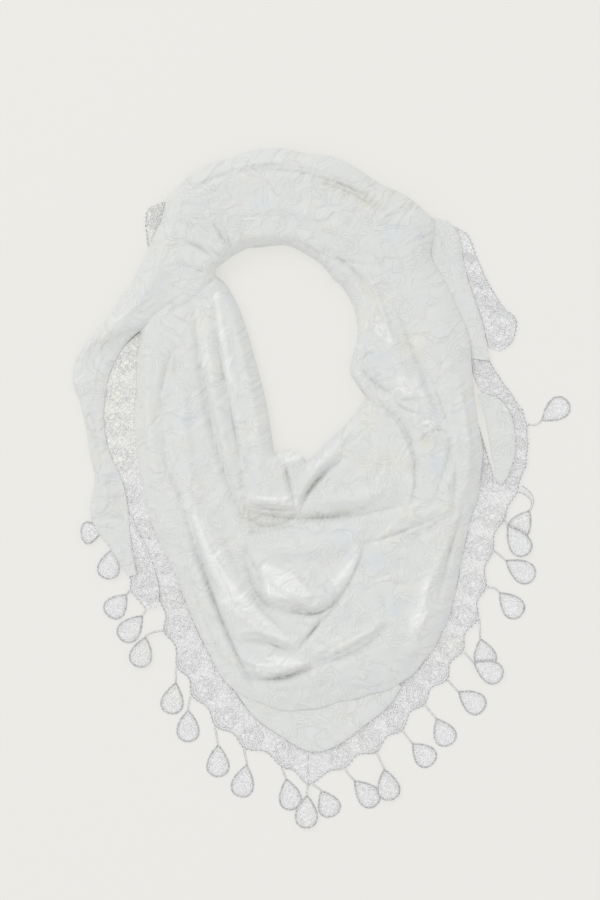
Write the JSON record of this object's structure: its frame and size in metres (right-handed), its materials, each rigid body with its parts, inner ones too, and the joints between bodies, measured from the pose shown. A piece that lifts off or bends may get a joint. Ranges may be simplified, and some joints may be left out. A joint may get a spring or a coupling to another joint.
{
  "type": "lace waist scarf",
  "caption": "Light lace scarf laid flat in a loose ring with a draped front, a wrap over its pinched left side, lace edging and teardrop lace drops.",
  "frame": {"origin": "centre of the bounding box's underside, on the surface that the scarf lies on", "axes": "+X to the right as the picture shows it, +Y up in the picture towards the neck band, +Z up from the surface"},
  "size_m": [0.4972, 0.6766, 0.0256],
  "materials": {
    "scarf_cloth": "soft off-white burnout cloth with a faint floral pattern and a slight sheen",
    "hidden_layers": "the same off-white cloth in folded layers, matt",
    "lace_edging": "cool off-white openwork lace, matt with fine sparkle",
    "lace_drops": "cool off-white lace with a beaded rim, matt with fine sparkle"
  },
  "bodies": {
    "root": {"left_strand": "scarf_cloth", "inner_roll": "scarf_cloth", "front_drape": "scarf_cloth", "right_strand": "scarf_cloth", "neck_band": "scarf_cloth", "left_wrap": "scarf_cloth", "left_tail": "scarf_cloth", "hem_layer": "scarf_cloth", "right_tail_upper": "scarf_cloth", "right_tail_lower": "scarf_cloth", "hidden_layers_left": "hidden_layers", "hidden_layers_front": "hidden_layers", "hidden_layers_right": "hidden_layers", "hidden_layers_band": "hidden_layers", "hidden_layers_wrap": "hidden_layers", "edging_front_left": "lace_edging", "edging_front_right": "lace_edging", "edging_right_inner": "lace_edging", "edging_right_corner": "lace_edging", "edging_right_tail": "lace_edging", "edging_left_tail": "lace_edging", "edging_top_left": "lace_edging", "drop_01": "lace_drops", "drop_02": "lace_drops", "drop_03": "lace_drops", "drop_04": "lace_drops", "drop_05": "lace_drops", "drop_06": "lace_drops", "drop_07": "lace_drops", "drop_08": "lace_drops", "drop_09": "lace_drops", "drop_10": "lace_drops", "drop_11": "lace_drops", "drop_12": "lace_drops", "drop_13": "lace_drops", "drop_14": "lace_drops", "drop_15": "lace_drops", "drop_16": "lace_drops", "drop_17": "lace_drops", "drop_18": "lace_drops", "drop_19": "lace_drops", "drop_20": "lace_drops", "drop_21": "lace_drops", "drop_22": "lace_drops", "drop_23": "lace_drops", "drop_24": "lace_drops"}
  },
  "joints": []
}
